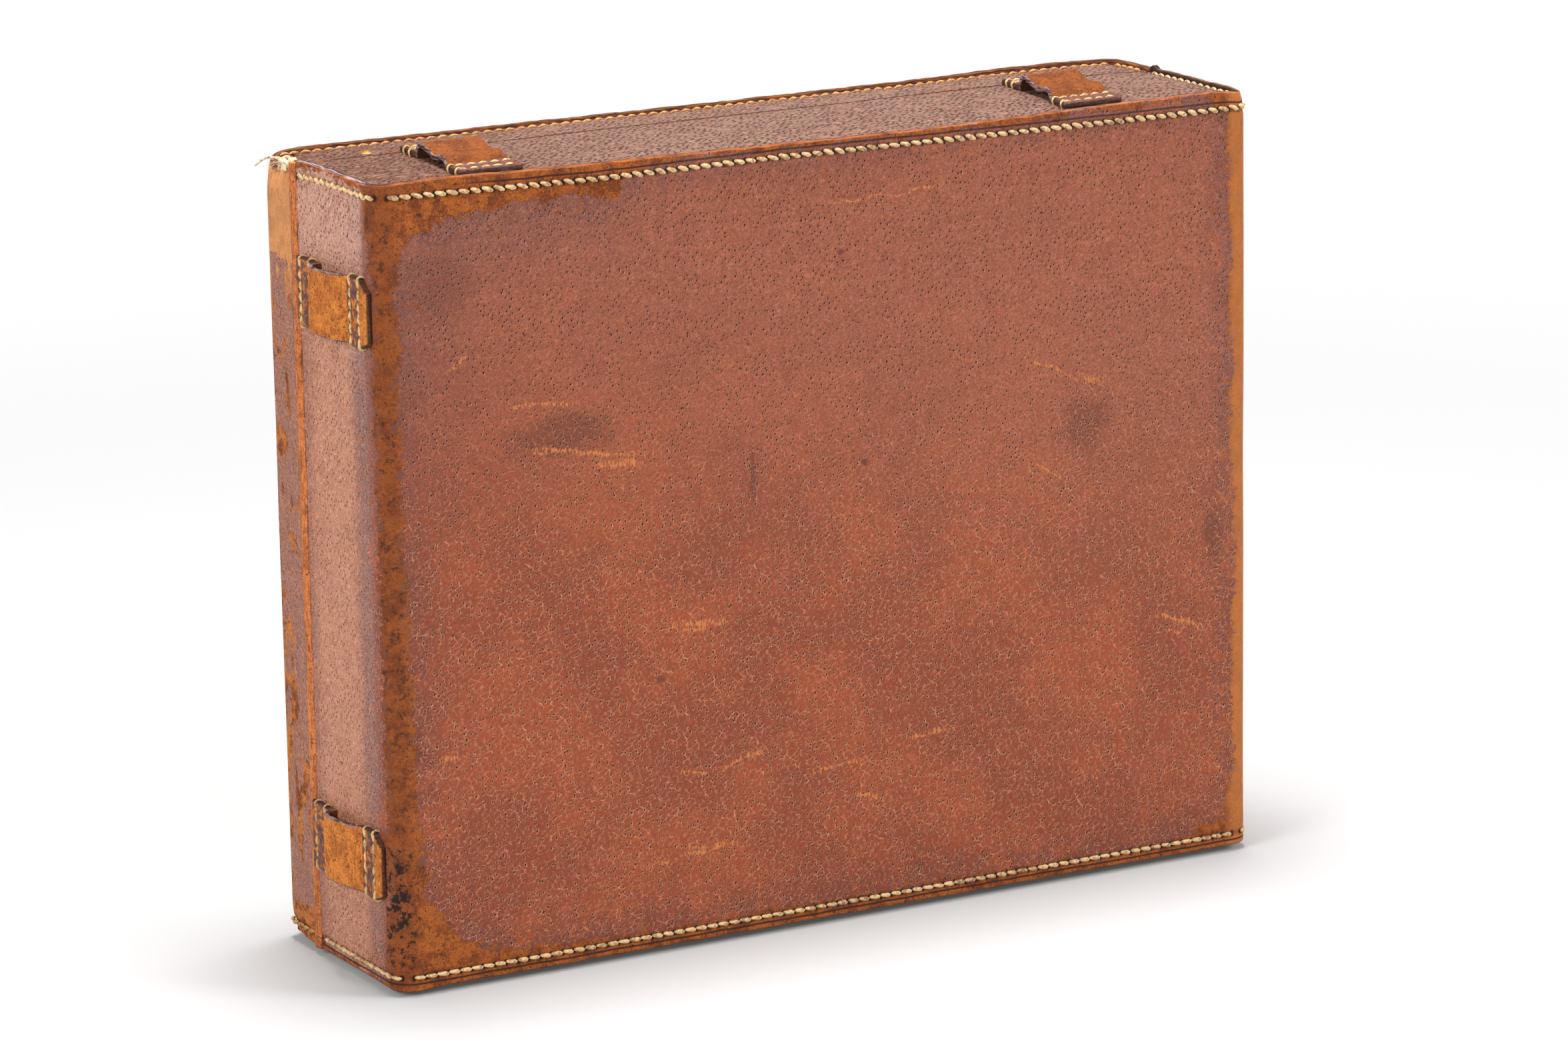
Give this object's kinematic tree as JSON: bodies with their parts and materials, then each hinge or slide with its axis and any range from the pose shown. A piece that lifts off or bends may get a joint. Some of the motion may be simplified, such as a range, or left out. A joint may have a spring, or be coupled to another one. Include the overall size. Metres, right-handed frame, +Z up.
{
  "type": "camera case",
  "caption": "Hand-stitched leather camera case on its narrow side, with a hinged lid, strap keepers on three edges and a sprung brass catch.",
  "frame": {"origin": "middle of the bounding box in plan, on the plane that the two bottom keepers stand on", "axes": "+Z up as the case stands; -Y is the big face of the base, +Y the back of the lid, -X the leather fold that is the hinge, +X the side with the lock"},
  "size_m": [0.3278, 0.0844, 0.2626],
  "materials": {
    "hide": "worn pigskin with a low sheen",
    "keeper_leather": "scuffed to the suede",
    "board": "plain pasteboard",
    "lining": "short napped cloth",
    "thread": "waxed linen",
    "brass": "dulled",
    "spring_steel": "plain"
  },
  "bodies": {
    "base": {"base_wrap": "hide", "base_top_panel": "hide", "base_bottom_panel": "hide", "base_front_board": "board", "base_top_board": "board", "base_bottom_board": "board", "base_hinge_board": "board", "base_lock_board": "board", "inner_frame": "board", "base_lining": "lining", "camera_divider": "lining", "holder_divider": "lining", "hinge_fold": "hide", "hinge_cloth": "lining", "base_top_seam": "thread", "base_bottom_seam": "thread", "keeper_stitches": "thread", "top_left_keeper": "keeper_leather", "top_right_keeper": "keeper_leather", "bottom_left_keeper": "keeper_leather", "bottom_right_keeper": "keeper_leather", "hinge_side_top_keeper": "keeper_leather", "hinge_side_bottom_keeper": "keeper_leather", "lock_plate": "brass", "lock_case": "brass", "lock_plate_pins": "brass", "lock_spring": "spring_steel"},
    "lid": {"lid_wrap": "hide", "lid_top_panel": "hide", "lid_bottom_panel": "hide", "lid_back_board": "board", "lid_top_board": "board", "lid_bottom_board": "board", "lid_hinge_board": "board", "lid_lock_board": "board", "lid_lining": "lining", "lid_top_seam": "thread", "lid_bottom_seam": "thread", "lid_stud": "brass", "lid_stud_burr": "brass", "loose_thread": "thread", "hasp_plate": "brass", "hasp_rivets": "brass", "hasp_pin": "brass"},
    "hasp": {"hasp": "brass", "hasp_staple": "brass"},
    "catch": {"lock_catch": "brass", "lock_button": "brass"}
  },
  "joints": [
    {"name": "lid_hinge", "type": "hinge", "parent": "base", "child": "lid", "pos_m": [-0.1567, 0.0165, 0.12945], "axis": [0, 0, 1], "range_deg": [0, 130]},
    {"name": "hasp_hinge", "type": "hinge", "parent": "lid", "child": "hasp", "pos_m": [0.1623, 0.0205, 0.12945], "axis": [0, 0, 1], "range_deg": [0, 150]},
    {"name": "catch_slide", "type": "slide", "parent": "base", "child": "catch", "axis": [0, 0, -1], "range_m": [0, 0.003], "stiffness_N_per_m": 300, "springref_m": -0.002, "deforming": ["lock_spring"]}
  ]
}
